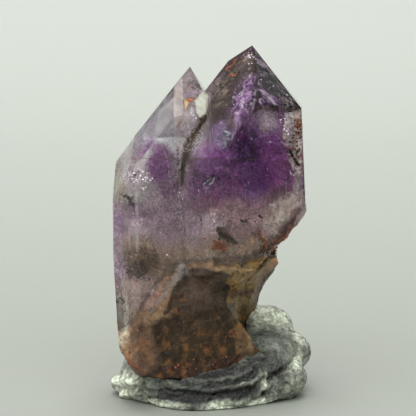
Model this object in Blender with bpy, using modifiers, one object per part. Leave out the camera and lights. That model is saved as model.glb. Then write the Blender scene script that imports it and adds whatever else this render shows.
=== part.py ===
"""Amethyst scepter: two quartz crystals grown together on one stem, held up by a lump of putty.

The crystal is one natural piece: a wide head with a six-sided tip, a smaller crystal
grown on its left in the same direction, and the narrower etched stem below the head.
It stands in a kneaded lump of putty, which is the second piece.

Metres, +Z up, the front looks towards -Y, and the origin is the middle of the bottom.
Points are given in millimetres and turned into metres by mm().
"""
import math

import bmesh
import bpy
from mathutils import Euler, Matrix, Vector, noise

MM = 0.001

# How the quartz grew: every face is named by its azimuth, from the front towards +X,
# and by its slope, from the level, both before the crystals lean.
LEAN_BACK = 5.0          # degrees, tips away from the front
LEAN_LEFT = 0.6          # degrees, tips to the left
FRONT = 27.0             # azimuth of the front prism face
LEFT = FRONT - 60
RIGHT = FRONT + 60
BACK_RIGHT = FRONT + 120
BACK = FRONT + 180
BACK_LEFT = FRONT - 120
PRISM = 90.0             # slope of a prism face
TIP = 51.8               # slope of the six tip faces of quartz

# The head
HEAD_TIP = (5.9, 3.5, 50.8)
HEAD_ROOF = 2.2          # how much further out the rear left tip face lies, which gives a short ridge
HEAD_FRONT_POINT = (6.5, -4.1, 42.3)
HEAD_LEFT_POINT = (1.2, -8.7, 36.3)
HEAD_RIGHT_POINT = (13.4, 3.5, 36.6)
HEAD_TAPER = 2.0         # degrees, its right side widens downwards
HEAD_BACK_RIGHT_POINT = (9.4, 10.5, 39.6)
HEAD_BACK_POINT = (1.4, 11.2, 39.6)
HEAD_BACK_LEFT_POINT = (-6.0, 3.5, 39.6)
HEAD_BOTTOM = 12.0       # height where the head's block ends, inside the stem

# The head's underside, where it narrows to the stem: points on its sloping ledges
LEDGE_RIGHT = (8.9, 3.5, 21.1)
LEDGE_FRONT = (1.5, -8.8, 19.7)
LEDGE_LEFT = (0.6, -9.5, 20.0)
LEDGE_BACK = (3.0, 10.8, 21.0)
LEDGE_SLOPE = 132.0
LEDGE_LEFT_TURN = 13.0   # degrees, the left ledge is turned from the left prism face

# The smaller crystal on the left
SIDE_TIP = (-3.1, 2.6, 47.8)
SIDE_ROOF = 1.5                      # its rear right tip face lies this much further out
SIDE_KINK = (-5.3, -0.8, 45.5)       # upper end of the ridge beside its left tip face
SIDE_CORNER = (-10.8, -8.6, 34.9)    # where its left tip face meets both prism faces
SIDE_RIGHT_POINT = (-0.7, -2.9, 41.1)
SIDE_BACK_RIGHT_POINT = (-2.6, 8.4, 39.6)
SIDE_BACK_POINT = (-10.1, 7.4, 39.6)
SIDE_BACK_LEFT_POINT = (-13.8, -2.5, 28.4)
SIDE_LOWER_LEFT_POINT = (-13.9, -2.5, 24.0)
SIDE_FLARE = 3.0                     # degrees, its left side widens upwards
SIDE_SHOULDER = (-12.8, -2.5, 35.4)  # small sloping face on the left shoulder
SIDE_SHOULDER_TURN = 20.0
SIDE_SHOULDER_SLOPE = 68.0
SIDE_RIGHT_TIP = TIP + 8             # its right tip face is steeper
SIDE_BOTTOM = 2.0

# The stem
STEM_FRONT = 20.0                    # azimuth of its front face, turned a little from the crystals'
STEM_BACK_LEFT_POINT = (-12.4, -2.5, 24.0)
STEM_TOP = 24.0                      # height where the stem's block ends, inside the head
STEM_TAPER = 18.0                    # degrees, its back right side widens upwards
STEM_RIGHT_POINT = (9.6, 3.5, 18.0)
STEM_BACK_POINT = (2.0, 8.6, 12.0)
STEM_BACK_RIGHT_POINT = (7.4, 5.6, 15.0)

# Steps on the stem's front, where it stands out from the side crystal: azimuth, slope, point
STEM_LIP_LEFT = (-3.5, 69.0, (-6.6, -8.9, 15.8))
STEM_LIP_TOP = (20.0, 60.0, (-0.9, -6.4, 19.3))

# Broken and etched places, given in the same way
ETCHED_FRONT = (61.0, 122.0, (2.9, -8.0, 19.3))     # the stem's right side, hollowed from the front
ETCHED_SIDE = (57.0, 108.0, (1.9, -4.4, 15.9))      # the same hollow further back
ETCHED_FOOT = (95.0, 61.0, (5.2, 3.5, 8.3))         # where the foot spreads again below
ETCHED_ROOF = (27.0, 165.0, (7.2, -5.7, 21.4))      # how far up the head's front it reaches
ETCHED_LEDGE = (RIGHT, LEDGE_SLOPE, LEDGE_RIGHT)
FOOT_UNDER = (-90.0, 172.0, (-10.5, -10.0, 4.9))    # the underside, which rises to the right
FOOT_LEFT = (-90.0, 120.0, (-13.3, -4.0, 8.9))      # bevelled lower left corner
FOOT_CORNER = (-35.0, 128.0, (-10.9, -9.5, 5.2))    # rounded lower front corner
FOOT_RIGHT = (90.0, 146.0, (6.1, -2.0, 7.2))        # steeper right end of the underside

# Broken surfaces
CHIP_CELL = 0.85         # spacing of their points
CHIP_DEPTH = 0.5         # how deep the etching goes
CHIP_SIZE = 3.2          # width of one lump

# The putty
PUTTY_CELL = 0.6
PUTTY_SHARE = 0.36       # share of the faces that are kept
GAP = 0.55               # between putty and crystal
POCKET_CELL = 0.5
POCKET_SHARE = 0.12
LUMPS = {
    "pad": ((-1.5, -2.2, 2.4), (11.8, 8.0, 3.9), 0),
    "left lobe": ((-11.3, -0.6, 1.5), (3.5, 3.9, 1.7), 20),
    "left cheek": ((-10.0, -2.8, 3.2), (3.3, 5.6, 3.2), 0),
    "rear": ((-1.0, 5.4, 3.4), (8.8, 4.8, 4.4), -6),
    "rear left": ((-8.6, 3.8, 2.8), (4.6, 4.8, 3.6), 35),
    "rear knob": ((-5.6, 7.0, 5.6), (4.0, 3.2, 3.0), 15),
    "rear right": ((4.2, 7.6, 4.4), (5.2, 3.8, 4.8), -10),
    "middle": ((6.2, -1.6, 4.2), (6.2, 5.2, 4.6), 30),
    "right lobe": ((9.2, -1.4, 2.6), (4.8, 5.0, 3.4), 20),
    "right bulge": ((10.3, 3.2, 5.5), (4.5, 4.4, 3.3), 0),
    "top bulge": ((7.7, 6.2, 8.5), (4.5, 4.2, 3.3), 0),
}
FOLDS = {
    "lip": (
        1.2,
        [(-10.4, -6.4, 2.6), (-6.5, -8.4, 3.1), (-1.0, -8.3, 3.9), (4.0, -6.7, 4.9), (7.4, -4.4, 6.6)],
    ),
    "sheet": (
        0.9,
        [(-8.0, -8.4, 1.9), (-4.8, -9.9, 2.8), (-1.0, -10.2, 2.3), (3.4, -9.3, 2.5), (6.8, -7.7, 3.9)],
    ),
    "rim": (
        1.0,
        [(-13.2, -2.6, 0.6), (-9.4, -5.0, 0.7), (-4.2, -10.2, 0.8), (3.0, -9.0, 0.8), (6.0, -7.2, 0.9)],
    ),
    "lower lobe": (
        1.7,
        [(2.4, -8.2, 0.9), (6.6, -6.4, 1.3), (10.0, -4.6, 2.1), (12.0, -1.8, 3.3)],
    ),
    "rear lip": (
        1.1,
        [(-11.2, 5.6, 1.9), (-7.4, 8.8, 2.8), (-1.4, 10.1, 3.0), (4.6, 10.4, 4.9), (10.4, 8.0, 6.4)],
    ),
    "rear rim": (
        1.0,
        [(-12.6, 2.6, 0.7), (-9.6, 7.2, 0.8), (-2.0, 9.8, 0.8), (5.0, 9.6, 0.9), (11.6, 5.4, 1.6)],
    ),
}


def mm(point):
    return Vector(point) * MM


def facing(azimuth, slope, leans=True):
    """Outward direction of a face."""
    a, s = math.radians(azimuth), math.radians(slope)
    normal = Vector((math.sin(a) * math.sin(s), -math.cos(a) * math.sin(s), math.cos(s)))
    if leans:
        normal.rotate(Euler((-math.radians(LEAN_BACK), -math.radians(LEAN_LEFT), 0)))
    return normal


def clear_scene():
    for old in list(bpy.data.objects):
        bpy.data.objects.remove(old)


def new_collection(name):
    collection = bpy.data.collections.new(name)
    bpy.context.scene.collection.children.link(collection)
    return collection


def new_object(name, bm, collection):
    mesh = bpy.data.meshes.new(name)
    bm.to_mesh(mesh)
    bm.free()
    piece = bpy.data.objects.new(name, mesh)
    collection.objects.link(piece)
    return piece


def cut_block(name, faces, collection, middle=(0, 0, 25), size=90):
    """A block cut by flat faces, each an outward direction and a point on it."""
    bm = bmesh.new()
    bmesh.ops.create_cube(bm, size=size * MM, matrix=Matrix.Translation(mm(middle)))
    for normal, point in faces:
        everything = bm.verts[:] + bm.edges[:] + bm.faces[:]
        cut = bmesh.ops.bisect_plane(
            bm, geom=everything, plane_co=mm(point), plane_no=normal, clear_outer=True
        )
        rim = [item for item in cut["geom_cut"] if isinstance(item, bmesh.types.BMEdge)]
        if rim:
            bmesh.ops.contextual_create(bm, geom=rim)
    bmesh.ops.recalc_face_normals(bm, faces=bm.faces[:])
    return new_object(name, bm, collection)


def applied(piece):
    """Makes the object's modifiers part of its mesh."""
    graph = bpy.context.evaluated_depsgraph_get()
    mesh = bpy.data.meshes.new_from_object(piece.evaluated_get(graph))
    piece.modifiers.clear()
    old, piece.data = piece.data, mesh
    mesh.name = piece.name
    bpy.data.meshes.remove(old)
    return piece


def remeshed(piece, cell):
    step = piece.modifiers.new("Even faces", "REMESH")
    step.mode = "VOXEL"
    step.voxel_size = cell * MM
    return applied(piece)


def combined(piece, other, operation):
    step = piece.modifiers.new(operation.title(), "BOOLEAN")
    step.operation = operation
    step.solver = "EXACT"
    step.object = other
    return applied(piece)


def chipped(piece, seed, depth=CHIP_DEPTH):
    """Roughens a block all over, with rounded lumps and small steps as on etched quartz."""
    remeshed(piece, CHIP_CELL)
    shift = Vector((seed * 7.3, seed * 3.1, seed * 5.7))
    bm = bmesh.new()
    bm.from_mesh(piece.data)
    bm.normal_update()
    moves = {}
    for vert in bm.verts:
        place = vert.co / (CHIP_SIZE * MM) + shift
        lumps = noise.noise(place) + 0.5 * noise.noise(place * 2.3)
        steps = round(2.5 * noise.noise(place * 0.8 + shift)) / 2.5
        moves[vert] = vert.normal * (depth * MM * (lumps + 0.8 * steps))
    for vert, move in moves.items():
        vert.co += move
    bm.to_mesh(piece.data)
    bm.free()
    return piece


def make_head(cutters):
    faces = [
        (facing(FRONT, PRISM), HEAD_FRONT_POINT),
        (facing(LEFT, PRISM), HEAD_LEFT_POINT),
        (facing(RIGHT, PRISM - HEAD_TAPER), HEAD_RIGHT_POINT),
        (facing(BACK_RIGHT, PRISM), HEAD_BACK_RIGHT_POINT),
        (facing(BACK, PRISM), HEAD_BACK_POINT),
        (facing(BACK_LEFT, PRISM), HEAD_BACK_LEFT_POINT),
        (Vector((0, 0, -1)), (0, 0, HEAD_BOTTOM)),
    ]
    tip_faces = [LEFT, FRONT, RIGHT, BACK_RIGHT, BACK]
    faces += [(facing(azimuth, TIP), HEAD_TIP) for azimuth in tip_faces]
    roof = Vector(HEAD_TIP) + facing(0, 0) * HEAD_ROOF
    faces.append((facing(BACK_LEFT, TIP), roof))
    head = cut_block("head", faces, cutters)

    ledges = [
        (facing(RIGHT, LEDGE_SLOPE), LEDGE_RIGHT),
        (facing(FRONT, LEDGE_SLOPE), LEDGE_FRONT),
        (facing(LEFT + LEDGE_LEFT_TURN, LEDGE_SLOPE), LEDGE_LEFT),
        (facing(BACK_RIGHT, LEDGE_SLOPE), LEDGE_BACK),
        (facing(BACK, LEDGE_SLOPE), LEDGE_BACK),
    ]
    underside = cut_block("underside", ledges, cutters, middle=(2, 0, 33), size=50)
    return combined(head, chipped(underside, seed=1), "INTERSECT")


def make_side_crystal(cutters):
    tip = Vector(SIDE_TIP)
    faces = [
        (facing(FRONT, PRISM), SIDE_CORNER),
        (facing(LEFT, PRISM), SIDE_CORNER),
        (facing(RIGHT, PRISM), SIDE_RIGHT_POINT),
        (facing(BACK_RIGHT, PRISM), SIDE_BACK_RIGHT_POINT),
        (facing(BACK, PRISM), SIDE_BACK_POINT),
        (facing(BACK_LEFT, PRISM), SIDE_BACK_LEFT_POINT),
        (facing(BACK_LEFT, PRISM + SIDE_FLARE), SIDE_LOWER_LEFT_POINT),
        (facing(LEFT, TIP), SIDE_KINK),
        (facing(FRONT, TIP), tip),
        (facing(RIGHT, SIDE_RIGHT_TIP), tip),
        (facing(BACK_RIGHT, TIP), tip + facing(0, 0) * SIDE_ROOF),
        (facing(BACK, TIP), tip),
        (facing(BACK_LEFT, TIP), tip),
        (facing(BACK_LEFT + SIDE_SHOULDER_TURN, SIDE_SHOULDER_SLOPE), SIDE_SHOULDER),
        (Vector((0, 0, -1)), (0, 0, SIDE_BOTTOM)),
    ]
    return cut_block("side crystal", faces, cutters)


def make_stem(cutters):
    faces = [
        (facing(STEM_FRONT, PRISM), SIDE_CORNER),
        (facing(LEFT, PRISM), SIDE_CORNER),
        (facing(RIGHT, PRISM), STEM_RIGHT_POINT),
        (facing(BACK_RIGHT, PRISM + STEM_TAPER), STEM_BACK_RIGHT_POINT),
        (facing(BACK, PRISM), STEM_BACK_POINT),
        (facing(BACK_LEFT, PRISM), STEM_BACK_LEFT_POINT),
        (facing(*STEM_LIP_LEFT[:2]), STEM_LIP_LEFT[2]),
        (facing(*STEM_LIP_TOP[:2]), STEM_LIP_TOP[2]),
        (Vector((0, 0, 1)), (0, 0, STEM_TOP)),
        (Vector((0, 0, -1)), (0, 0, SIDE_BOTTOM)),
    ]
    return cut_block("stem", faces, cutters)


def make_crystal(parts, cutters):
    """The whole natural piece: three blocks grown together, then the broken places."""
    crystal = make_head(cutters)
    combined(crystal, make_stem(cutters), "UNION")
    combined(crystal, make_side_crystal(cutters), "UNION")

    hollow = (ETCHED_FRONT, ETCHED_SIDE, ETCHED_FOOT, ETCHED_ROOF, ETCHED_LEDGE)
    walls = [(-facing(*place[:2], leans=False), place[2]) for place in hollow]
    bite = cut_block("etched side", walls, cutters, middle=(18, -8, 12), size=36)
    combined(crystal, chipped(bite, seed=5), "DIFFERENCE")

    breaks = (FOOT_UNDER, FOOT_LEFT, FOOT_CORNER, FOOT_RIGHT)
    broken = [(facing(*place[:2], leans=False), place[2]) for place in breaks]
    foot = cut_block("broken foot", broken, cutters, middle=(0, 0, 30), size=56)
    combined(crystal, chipped(foot, seed=3), "INTERSECT")
    crystal.name = crystal.data.name = "amethyst_scepter"
    cutters.objects.unlink(crystal)
    parts.objects.link(crystal)
    return crystal


def make_putty(parts, cutters, crystal):
    """Lumps and folds pressed into one mass, with a pocket where the crystal stands."""
    bm = bmesh.new()
    for middle, radii, turn in LUMPS.values():
        place = Matrix.LocRotScale(mm(middle), Euler((0, 0, math.radians(turn))), Vector(radii) * MM)
        bmesh.ops.create_uvsphere(bm, u_segments=32, v_segments=20, radius=1, matrix=place)
    for name, (thickness, points) in FOLDS.items():
        add_fold(bm, name, thickness, points)
    putty = new_object("putty", bm, parts)
    remeshed(putty, PUTTY_CELL)
    soften = putty.modifiers.new("Soften", "SMOOTH")
    soften.iterations = 2
    fewer = putty.modifiers.new("Fewer faces", "DECIMATE")
    fewer.ratio = PUTTY_SHARE
    applied(putty)

    shelf = cut_block("shelf", [(Vector((0, 0, 1)), (0, 0, 0))], cutters, middle=(0, 0, -20), size=60)
    combined(putty, shelf, "DIFFERENCE")
    combined(putty, make_pocket(crystal, cutters), "DIFFERENCE")
    return putty


def add_fold(bm, name, thickness, points):
    """A round rope of putty along a smooth curve."""
    curve = bpy.data.curves.new(name, "CURVE")
    curve.dimensions = "3D"
    curve.bevel_depth = thickness * MM
    curve.bevel_resolution = 3
    curve.use_fill_caps = True
    curve.resolution_u = 6
    spline = curve.splines.new("BEZIER")
    spline.bezier_points.add(len(points) - 1)
    for knot, point in zip(spline.bezier_points, points):
        knot.co = mm(point)
        knot.handle_left_type = knot.handle_right_type = "AUTO"
    rope = bpy.data.objects.new(name, curve)
    bpy.context.scene.collection.objects.link(rope)
    graph = bpy.context.evaluated_depsgraph_get()
    mesh = bpy.data.meshes.new_from_object(rope.evaluated_get(graph))
    bpy.data.objects.remove(rope)
    bm.from_mesh(mesh)
    bpy.data.meshes.remove(mesh)


def make_pocket(crystal, cutters):
    """The crystal's own shape, made a little larger."""
    pocket = crystal.copy()
    pocket.data = crystal.data.copy()
    pocket.name = "pocket"
    cutters.objects.link(pocket)
    remeshed(pocket, POCKET_CELL)
    grow = pocket.modifiers.new("Room", "DISPLACE")
    grow.strength = GAP * MM
    grow.mid_level = 0
    remeshed(applied(pocket), POCKET_CELL)
    fewer = pocket.modifiers.new("Fewer faces", "DECIMATE")
    fewer.ratio = POCKET_SHARE
    return applied(pocket)


def centre(pieces):
    """Moves the pieces together so that the middle of their common bottom is the origin."""
    points = [vert.co for piece in pieces for vert in piece.data.vertices]
    low = Vector(min(point[axis] for point in points) for axis in range(3))
    high = Vector(max(point[axis] for point in points) for axis in range(3))
    shift = Vector((-(low.x + high.x) / 2, -(low.y + high.y) / 2, -low.z))
    for piece in pieces:
        piece.data.transform(Matrix.Translation(shift))


def finish(name, colour, roughness, **more):
    material = bpy.data.materials.new(name)
    material.use_nodes = True
    shader = material.node_tree.nodes["Principled BSDF"]
    shader.inputs["Base Color"].default_value = (*colour, 1)
    shader.inputs["Roughness"].default_value = roughness
    shader.inputs["Metallic"].default_value = 0.0
    for socket, value in more.items():
        shader.inputs[socket.replace("_", " ")].default_value = value
    return material


def build():
    clear_scene()
    parts = new_collection("amethyst scepter")
    cutters = new_collection("cutters")

    crystal = make_crystal(parts, cutters)
    crystal.data.materials.clear()
    crystal.data.materials.append(
        finish("amethyst", (0.42, 0.30, 0.50), 0.08, Transmission_Weight=0.8, IOR=1.544)
    )

    putty = make_putty(parts, cutters, crystal)
    putty.name = putty.data.name = "mounting_putty"
    putty.data.materials.clear()
    putty.data.materials.append(finish("grey putty", (0.24, 0.27, 0.24), 0.55))
    putty.data.shade_smooth()
    putty.data.set_sharp_from_angle(angle=math.radians(40))

    centre([crystal, putty])

    for cutter in cutters.objects:
        cutter.hide_render = True
        cutter.display_type = "WIRE"


build()
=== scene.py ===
"""Looks of the amethyst scepter: clear quartz with its growth clouds, flecks and rust, in grey putty."""
import math
import random

import bmesh
import bpy
from mathutils import Euler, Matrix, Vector, noise
from mathutils.bvhtree import BVHTree

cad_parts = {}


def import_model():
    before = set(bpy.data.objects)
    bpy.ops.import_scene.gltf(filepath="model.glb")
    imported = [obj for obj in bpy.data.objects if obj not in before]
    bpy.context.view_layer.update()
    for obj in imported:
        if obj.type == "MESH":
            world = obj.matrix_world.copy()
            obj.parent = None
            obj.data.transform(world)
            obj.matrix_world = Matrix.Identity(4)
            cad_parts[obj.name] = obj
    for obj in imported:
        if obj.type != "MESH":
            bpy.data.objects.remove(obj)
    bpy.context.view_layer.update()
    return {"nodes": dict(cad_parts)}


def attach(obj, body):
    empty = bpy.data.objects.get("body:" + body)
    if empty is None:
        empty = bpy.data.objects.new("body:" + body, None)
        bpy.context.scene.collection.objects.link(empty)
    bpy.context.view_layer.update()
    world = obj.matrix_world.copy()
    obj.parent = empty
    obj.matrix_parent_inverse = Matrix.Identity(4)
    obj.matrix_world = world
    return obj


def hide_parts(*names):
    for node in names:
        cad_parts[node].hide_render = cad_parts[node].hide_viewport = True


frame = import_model()
scene = bpy.context.scene
cad_crystal = frame["nodes"]["amethyst_scepter"]
cad_putty = frame["nodes"]["mounting_putty"]

MM = 0.001
SHIFT = Vector((0.0, -0.8, 0.0))  # millimetres, from the numbers used here to the centred model
FRAME = 416  # pixels across the photograph
PIXEL = 0.145  # millimetres of the object in a pixel of the photograph
ROW = 0.147  # millimetres of its height in a row of pixels, seen from a little above
SLOPE = 0.167  # how far the line of sight drops for each millimetre of depth
BASE_X, BASE_Y = 211.5, 395  # pixel of the middle of the base
ELEVATION = math.radians(9.5)
DISTANCE = 350.0  # from the camera to the crystal, in millimetres
SENSOR = 36

# Quartz faces, as azimuth from the front towards +X and slope from the level
LEAN = Euler((-math.radians(5.0), -math.radians(0.6), 0))
FRONT, LEFT, RIGHT = 27.0, -33.0, 87.0
BACK_RIGHT, BACK, BACK_LEFT = 147.0, 207.0, -93.0
TIP = 51.8
HEAD_TIP = Vector((5.9, 3.5, 50.8))
HEAD_ROOF = 2.2
SIDE_TIP = Vector((-3.1, 2.6, 47.8))
SIDE_KINK = Vector((-5.3, -0.8, 45.5))
SIDE_RIGHT_POINT = Vector((-0.7, -2.9, 41.1))


def facing(azimuth, slope):
    """Direction in which such a face of the quartz looks."""
    a, s = math.radians(azimuth), math.radians(slope)
    normal = Vector((math.sin(a) * math.sin(s), -math.cos(a) * math.sin(s), math.cos(s)))
    normal.rotate(LEAN)
    return normal


def world(point):
    """Metres in the model's frame from millimetres in the frame of these numbers."""
    return (Vector(point) + SHIFT) * MM


def model(point):
    """The other way round from world."""
    return Vector(point) / MM - SHIFT


def seen(px, py, y):
    """The point, in millimetres, that shows at this pixel when it lies y deep."""
    return Vector(((px - BASE_X) * PIXEL, y, (BASE_Y - py) * ROW - y * SLOPE))


def pixel(q):
    """The pixel at which a point shows."""
    return BASE_X + q.x / PIXEL, BASE_Y - (q.z + SLOPE * q.y) / ROW


def srgb(*shade):
    """The linear colour of a shade that is given as three numbers up to 255."""
    return tuple((c / 255 / 12.92) if c <= 10 else ((c / 255 + 0.055) / 1.055) ** 2.4 for c in shade)


def smooth(low, high, value):
    t = min(1.0, max(0.0, (value - low) / (high - low)))
    return t * t * (3 - 2 * t)


def mix(a, b, t):
    return tuple(x + (y - x) * t for x, y in zip(a, b))


# Camera
TOWARD_VIEWER = Vector((0, -math.cos(ELEVATION), math.sin(ELEVATION)))
target = Vector(((FRAME / 2 - BASE_X) * PIXEL, 0, (BASE_Y - FRAME / 2) * PIXEL / math.cos(ELEVATION)))
eye = target + TOWARD_VIEWER * DISTANCE
camera_data = bpy.data.cameras.new("Camera")
camera_data.sensor_width = SENSOR
camera_data.lens = SENSOR * DISTANCE / (FRAME * PIXEL)
camera_data.clip_start = 0.01
camera = bpy.data.objects.new("Camera", camera_data)
camera.location = world(eye)
camera.rotation_euler = (world(target) - camera.location).to_track_quat("-Z", "Y").to_euler()
scene.collection.objects.link(camera)
scene.camera = camera


# Helpers for node materials
class Nodes:
    """Adds nodes to a material, or to the surround, and joins them."""

    def __init__(self, name, kind=bpy.data.materials, shader="Principled BSDF"):
        self.material = kind.new(name)
        self.material.use_nodes = True
        self.tree = self.material.node_tree
        self.shader = self.tree.nodes[shader]

    def give(self, node, key, value):
        """Joins an output of another node to an input, or writes a plain value into it."""
        socket = node.inputs[key.replace("_", " ") if isinstance(key, str) else key]
        if isinstance(value, bpy.types.NodeSocket):
            self.tree.links.new(value, socket)
        else:
            socket.default_value = value

    def add(self, kind, **settings):
        """A new node. Names with a capital are its inputs, the others its own settings."""
        node = self.tree.nodes.new("ShaderNode" + kind)
        for key, value in settings.items():
            if key[0].isupper():
                self.give(node, key, value)
            else:
                setattr(node, key, value)
        return node

    def set(self, **values):
        for key, value in values.items():
            self.give(self.shader, key, value)

    def attribute(self, name, output="Fac"):
        return self.add("Attribute", attribute_name=name).outputs[output]

    def place(self, scale=(1, 1, 1), turn=0.0):
        """Object coordinates, turned in the picture's plane and then divided by scale."""
        node = self.add("Mapping", vector_type="TEXTURE", Scale=scale, Rotation=(0, math.radians(turn), 0))
        self.give(node, "Vector", self.add("TexCoord").outputs["Object"])
        return node.outputs["Vector"]

    def noise(self, vector, scale, detail=3.0, roughness=0.6, distortion=0.0):
        node = self.add("TexNoise", Vector=vector, Scale=scale, Detail=detail)
        self.give(node, "Roughness", roughness)
        self.give(node, "Distortion", distortion)
        return node.outputs["Fac"]

    def ramp(self, value, stops):
        node = self.add("ValToRGB", Fac=value)
        ramp = node.color_ramp
        while len(ramp.elements) < len(stops):
            ramp.elements.new(0.5)
        for element, (where, colour) in zip(ramp.elements, stops):
            element.position = where
            element.color = (*colour, 1) if isinstance(colour, tuple) else (colour, colour, colour, 1)
        return node.outputs["Color"]

    def math(self, operation, *values):
        node = self.add("Math", operation=operation)
        for index, value in enumerate(values):
            self.give(node, index, value)
        return node.outputs[0]

    def blend(self, fac, a, b, kind="MIX"):
        node = self.add("Mix", data_type="RGBA", blend_type=kind)
        for index, value in ((0, fac), (6, a), (7, b)):
            self.give(node, index, (*value, 1) if isinstance(value, tuple) else value)
        return node.outputs[2]

    def bump(self, height, distance, strength=1.0, **below):
        node = self.add("Bump", Height=height, Distance=distance, Strength=strength, **below)
        return node.outputs["Normal"]


def new_piece(name, mesh, *materials, slot=None, rides=True):
    piece = bpy.data.objects.new(name, mesh)
    scene.collection.objects.link(piece)
    for material in materials:
        piece.data.materials.append(material)
    if rides:
        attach(piece, "root")
    return piece


def apply_to(piece):
    """Puts the result of the modifiers in place of the piece's mesh."""
    graph = bpy.context.evaluated_depsgraph_get()
    mesh = bpy.data.meshes.new_from_object(piece.evaluated_get(graph))
    piece.modifiers.clear()
    old, piece.data = piece.data, mesh
    bpy.data.meshes.remove(old)


def remesh(piece, cell):
    step = piece.modifiers.new("Even faces", "REMESH")
    step.mode = "VOXEL"
    step.voxel_size = cell * MM
    apply_to(piece)


def mesh_from(bm, name, smooth=False):
    mesh = bpy.data.meshes.new(name)
    bm.to_mesh(mesh)
    bm.free()
    if smooth:
        mesh.shade_smooth()
    return mesh


def bmesh_of(mesh):
    bm = bmesh.new()
    bm.from_mesh(mesh)
    return bm


def split_long(bm, is_long, rounds, fill=False):
    """Halves the edges that are too long, in several rounds."""
    for _ in range(rounds):
        long = [edge for edge in bm.edges if is_long(edge)]
        if not long:
            break
        bmesh.ops.subdivide_edges(bm, edges=long, cuts=1, use_grid_fill=fill)
        bmesh.ops.triangulate(bm, faces=[face for face in bm.faces if len(face.verts) > 3])


def soften(bm, verts, times):
    """Wears edges down by moving their points towards their neighbours."""
    for _ in range(times):
        bmesh.ops.smooth_vert(bm, verts=verts, factor=0.5, use_axis_x=True, use_axis_y=True, use_axis_z=True)


def merged_copy(source, name):
    """A copy of a CAD node whose corners are shared by their faces again."""
    bm = bmesh_of(source.data)
    bmesh.ops.remove_doubles(bm, verts=bm.verts[:], dist=1e-6)
    return mesh_from(bm, name)


crystal_mesh = merged_copy(cad_crystal, "crystal_skin")
crystal_bm = bmesh_of(crystal_mesh)
crystal_tree = BVHTree.FromBMesh(crystal_bm)
crystal_bm.free()
QUARTZ_IOR = 1.544
IN_FRONT = -40  # where lines of sight start, in millimetres of depth


def lodged(px, py, depth, with_normal=False):
    """The point this many millimetres under the skin that shows at a pixel, or None beside the crystal."""
    way = -TOWARD_VIEWER
    hit, normal, _, _ = crystal_tree.ray_cast(world(seen(px, py, IN_FRONT)), way)
    if hit is None:
        return None
    ratio = 1 / QUARTZ_IOR
    c = max(0.0, -normal.dot(way))
    bent = way * ratio + normal * (ratio * c - math.sqrt(1 - ratio * ratio * (1 - c * c)))
    point = model(hit + bent.normalized() * depth * MM)
    return (point, normal) if with_normal else point


# Where things are in the crystal
HEAD_TIP_FACES = [(facing(a, TIP), HEAD_TIP) for a in (LEFT, FRONT, RIGHT, BACK_RIGHT, BACK)]
HEAD_TIP_FACES.append((facing(BACK_LEFT, TIP), HEAD_TIP + facing(0, 0) * HEAD_ROOF))
SIDE_TIP_FACES = [(facing(a, TIP), SIDE_TIP) for a in (FRONT, BACK, BACK_LEFT, BACK_RIGHT)]
SIDE_TIP_FACES += [(facing(LEFT, TIP), SIDE_KINK), (facing(RIGHT, TIP + 8), SIDE_TIP)]
SUTURE = facing(RIGHT, 90)


def below_tip(q, faces):
    """How deep a point lies below the nearest tip face, in millimetres."""
    return min(normal.dot(point - q) for normal, point in faces)


def in_side(q):
    """From 0 in the head to 1 in the side crystal."""
    blur = 0.5 + 2.5 * smooth(0.0, 4.0, q.y)
    return smooth(blur, -blur, SUTURE.dot(q - SIDE_RIGHT_POINT) + blur * noise.noise(q / 3.0))


def fbm(q, size, octaves=3):
    """Soft noise with a grain of this size and finer ones on top."""
    value, weight, total = 0.0, 1.0, 0.0
    p = q / size
    for _ in range(octaves):
        value += weight * noise.noise(p)
        total += weight
        weight *= 0.55
        p = p * 2.07 + Vector((3.1, 7.7, 1.3))
    return value / total


def blob(q, centre, radii, turn=0.0, wobble=0.35, size=3.0):
    """From 1 at the middle of a soft ellipsoid to 0 outside it, turned in the picture's plane."""
    d = q - centre
    c, s = math.cos(math.radians(turn)), math.sin(math.radians(turn))
    x, z = d.x * c + d.z * s, -d.x * s + d.z * c
    r = math.sqrt((x / radii[0]) ** 2 + (d.y / radii[1]) ** 2 + (z / radii[2]) ** 2)
    return smooth(1.25, 0.55, r + wobble * fbm(q + centre, size))


def from_segment(x, y, start, end):
    """Distance from a straight piece between two points."""
    (x0, y0), (x1, y1) = start, end
    dx, dy = x1 - x0, y1 - y0
    t = min(1.0, max(0.0, ((x - x0) * dx + (y - y0) * dy) / (dx * dx + dy * dy)))
    return math.hypot(x - x0 - t * dx, y - y0 - t * dy)


def within(x, y, outline):
    """Distance from an outline in pixels, above 0 inside it."""
    best, inside = 1e9, False
    for (x0, y0), (x1, y1) in zip(outline, outline[1:] + outline[:1]):
        best = min(best, from_segment(x, y, (x0, y0), (x1, y1)))
        if (y0 > y) != (y1 > y) and x < x0 + (x1 - x0) * (y - y0) / (y1 - y0):
            inside = not inside
    return best if inside else -best


def profile(x, points):
    """Height of a broken line through points at x."""
    if x <= points[0][0]:
        return points[0][1]
    for (x0, y0), (x1, y1) in zip(points, points[1:]):
        if x <= x1:
            return y0 + (y1 - y0) * (x - x0) / (x1 - x0)
    return points[-1][1]


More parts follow.
